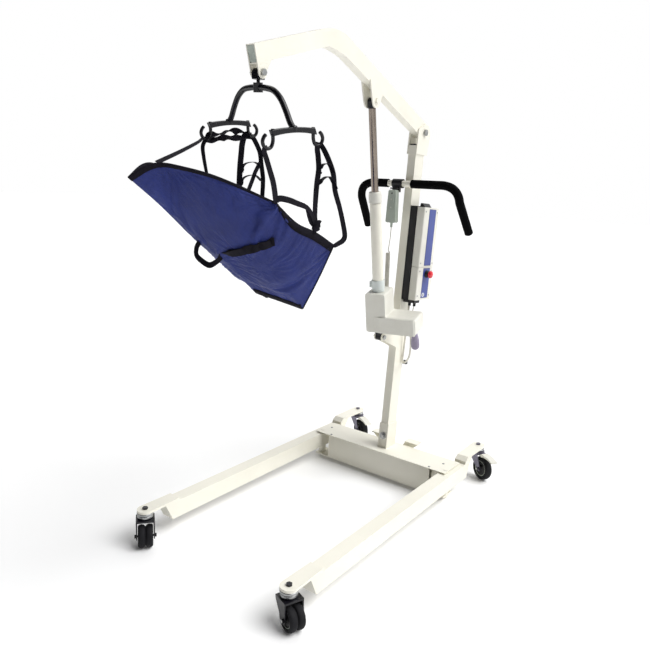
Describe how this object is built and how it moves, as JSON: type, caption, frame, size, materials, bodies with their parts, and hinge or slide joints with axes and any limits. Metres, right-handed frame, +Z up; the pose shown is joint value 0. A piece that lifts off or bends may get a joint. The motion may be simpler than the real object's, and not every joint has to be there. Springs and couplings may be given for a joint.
{
  "type": "patient lift",
  "caption": "Mobile patient lift with spreading legs, swivel casters, a leaning mast, a powered bent boom, a four-hook cradle and a hanging sling.",
  "frame": {"origin": "on the floor, under the middle of the lift's outline seen from above", "axes": "+Z up; the open front of the legs and the boom's nose point to -Y; +X is the right side seen from the front"},
  "size_m": [0.7712, 1.4959, 1.6786],
  "materials": {
    "ivory_paint": "ivory powder coat, semi-gloss",
    "black_paint": "black semi-gloss paint",
    "zinc": "bright zinc plate",
    "chrome": "polished rod",
    "black_plastic": "fine grain",
    "ivory_plastic": "fine grain",
    "grey_plastic": "fine grain",
    "lilac_plastic": "fine grain",
    "red_plastic": "glossy",
    "tread": "dull rubber",
    "foam": "closed-cell foam",
    "sling_cloth": "woven polyester mesh",
    "webbing": "woven webbing"
  },
  "bodies": {
    "base": {"cross_beam": "ivory_paint", "base_cover": "ivory_paint", "leg_pivot_pin_left": "ivory_paint", "leg_pivot_pin_right": "ivory_paint", "mast_tube": "ivory_paint", "mast_socket": "ivory_paint", "mast_bolt": "zinc", "mast_head_bracket": "ivory_paint", "boom_pivot_pin": "zinc", "actuator_bracket": "ivory_paint", "actuator_base_pin": "zinc", "push_handle": "ivory_paint", "grip_left": "foam", "grip_right": "foam", "handset_hook": "black_plastic", "handset": "grey_plastic", "dock": "black_plastic", "control_box": "ivory_plastic", "stop_button_base": "black_plastic", "handset_lead": "grey_plastic", "handset_coil": "grey_plastic", "handset_lead_tail": "grey_plastic", "actuator_lead": "grey_plastic"},
    "left_leg": {"leg_left": "ivory_paint"},
    "right_leg": {"leg_right": "ivory_paint"},
    "pedal": {"spreader_pedal": "ivory_paint"},
    "front_left_fork": {"caster_front_left_fork": "black_paint"},
    "front_left_wheels": {"caster_front_left_wheels": "tread"},
    "front_right_fork": {"caster_front_right_fork": "black_paint"},
    "front_right_wheels": {"caster_front_right_wheels": "tread"},
    "rear_left_fork": {"caster_rear_left_fork": "zinc"},
    "rear_left_wheel": {"caster_rear_left_wheel": "tread"},
    "rear_left_brake": {"caster_rear_left_brake": "ivory_plastic"},
    "rear_right_fork": {"caster_rear_right_fork": "zinc"},
    "rear_right_wheel": {"caster_rear_right_wheel": "tread"},
    "rear_right_brake": {"caster_rear_right_brake": "ivory_plastic"},
    "boom": {"boom": "ivory_paint", "boom_nose_cap": "grey_plastic", "nose_bolt": "zinc"},
    "hanger": {"hanger": "black_paint"},
    "cradle": {"yoke": "black_paint", "hook_bar_left": "black_paint", "hook_bar_right": "black_paint", "sling_panel": "sling_cloth", "strap_shoulder_right": "webbing", "strap_shoulder_left": "webbing", "strap_leg_right": "webbing", "strap_leg_left": "webbing"},
    "actuator": {"gear_cover_front": "ivory_plastic", "gear_cover_rear": "ivory_plastic", "actuator_base_eye": "black_paint", "actuator_tube": "ivory_paint", "tube_collar_upper": "ivory_plastic"},
    "lowering_knob": {"lowering_knob": "lilac_plastic"},
    "rod": {"actuator_rod": "chrome", "rod_end": "black_paint"},
    "battery": {"battery_pack": "ivory_plastic"},
    "stop_button": {"stop_button": "red_plastic"},
    "button_up": {"button_up": "grey_plastic"},
    "button_down": {"button_down": "grey_plastic"}
  },
  "joints": [
    {"name": "spreader", "type": "hinge", "parent": "base", "child": "pedal", "pos_m": [-0.0356, 0.548, 0.084], "axis": [0, 1, 0], "range_deg": [0, 24]},
    {"name": "left_leg_splay", "type": "hinge", "parent": "base", "child": "left_leg", "pos_m": [-0.3416, 0.425, 0.085], "axis": [0, 0, -1], "range_deg": [0, 12]},
    {"name": "right_leg_splay", "type": "hinge", "parent": "base", "child": "right_leg", "pos_m": [0.2704, 0.425, 0.085], "axis": [0, 0, 1], "range_deg": [0, 12]},
    {"name": "front_left_swivel", "type": "hinge", "parent": "left_leg", "child": "front_left_fork", "pos_m": [-0.3496, -0.55, 0.1], "axis": [0, 0, 1], "continuous": true},
    {"name": "front_left_roll", "type": "hinge", "parent": "front_left_fork", "child": "front_left_wheels", "pos_m": [-0.3297, -0.56513, 0.0375], "axis": [0.6052, 0.7961, 0], "continuous": true},
    {"name": "front_right_swivel", "type": "hinge", "parent": "right_leg", "child": "front_right_fork", "pos_m": [0.2784, -0.55, 0.1], "axis": [0, 0, 1], "continuous": true},
    {"name": "front_right_roll", "type": "hinge", "parent": "front_right_fork", "child": "front_right_wheels", "pos_m": [0.3018, -0.55881, 0.0375], "axis": [0.3523, 0.9359, 0], "continuous": true},
    {"name": "rear_left_swivel", "type": "hinge", "parent": "left_leg", "child": "rear_left_fork", "pos_m": [-0.3496, 0.715, 0.12], "axis": [0, 0, 1], "continuous": true},
    {"name": "rear_left_roll", "type": "hinge", "parent": "rear_left_fork", "child": "rear_left_wheel", "pos_m": [-0.31274, 0.69486, 0.05], "axis": [0.4794, 0.8776, 0], "continuous": true},
    {"name": "rear_left_brake_press", "type": "hinge", "parent": "rear_left_fork", "child": "rear_left_brake", "pos_m": [-0.31625, 0.69678, 0.104], "axis": [0.4794, 0.8776, 0], "range_deg": [0, 8]},
    {"name": "rear_right_swivel", "type": "hinge", "parent": "right_leg", "child": "rear_right_fork", "pos_m": [0.2784, 0.715, 0.12], "axis": [0, 0, 1], "continuous": true},
    {"name": "rear_right_roll", "type": "hinge", "parent": "rear_right_fork", "child": "rear_right_wheel", "pos_m": [0.31526, 0.69486, 0.05], "axis": [0.4794, 0.8776, 0], "continuous": true},
    {"name": "rear_right_brake_press", "type": "hinge", "parent": "rear_right_fork", "child": "rear_right_brake", "pos_m": [0.31175, 0.69678, 0.104], "axis": [0.4794, 0.8776, 0], "range_deg": [0, 8]},
    {"name": "boom_lift", "type": "hinge", "parent": "base", "child": "boom", "pos_m": [-0.0356, 0.557, 1.422], "axis": [-1, 0, 0], "range_deg": [-40, 10]},
    {"name": "hanger_level", "type": "hinge", "parent": "boom", "child": "hanger", "pos_m": [-0.0356, -0.386, 1.5], "axis": [-1, 0, 0], "range_deg": [-11, 41]},
    {"name": "cradle_swivel", "type": "hinge", "parent": "hanger", "child": "cradle", "pos_m": [-0.0356, -0.386, 1.461], "axis": [0, 0, 1], "continuous": true},
    {"name": "actuator_tilt", "type": "hinge", "parent": "base", "child": "actuator", "pos_m": [-0.0356, 0.357, 0.622], "axis": [-1, 0, 0], "range_deg": [-4, 4]},
    {"name": "lowering_knob_turn", "type": "hinge", "parent": "actuator", "child": "lowering_knob", "pos_m": [0.10719, 0.38693, 0.62754], "axis": [0, -0.182, 0.9833], "continuous": true},
    {"name": "rod_extend", "type": "slide", "parent": "actuator", "child": "rod", "axis": [0, -0.182, 0.9833], "range_m": [-0.27, 0.08]},
    {"name": "battery_lift", "type": "slide", "parent": "base", "child": "battery", "axis": [0, 0.055, 0.9985], "range_m": [0, 0.05]},
    {"name": "stop_press", "type": "slide", "parent": "base", "child": "stop_button", "axis": [-1, 0, 0], "range_m": [0, 0.0025]},
    {"name": "up_press", "type": "slide", "parent": "base", "child": "button_up", "axis": [0, 1, 0], "range_m": [0, 0.0015], "stiffness_N_per_m": 400, "springref_m": -0.0008},
    {"name": "down_press", "type": "slide", "parent": "base", "child": "button_down", "axis": [0, 1, 0], "range_m": [0, 0.0015], "stiffness_N_per_m": 400, "springref_m": -0.0008}
  ],
  "couplings": [
    {"joint": "left_leg_splay", "follows": "spreader", "ratio": 0.5},
    {"joint": "right_leg_splay", "follows": "spreader", "ratio": 0.5},
    {"joint": "hanger_level", "follows": "boom_lift", "ratio": -1},
    {"joint": "actuator_tilt", "follows": "boom_lift", "ratio": 0.045},
    {"joint": "rod_extend", "follows": "boom_lift", "m_per_rad": 0.357}
  ]
}
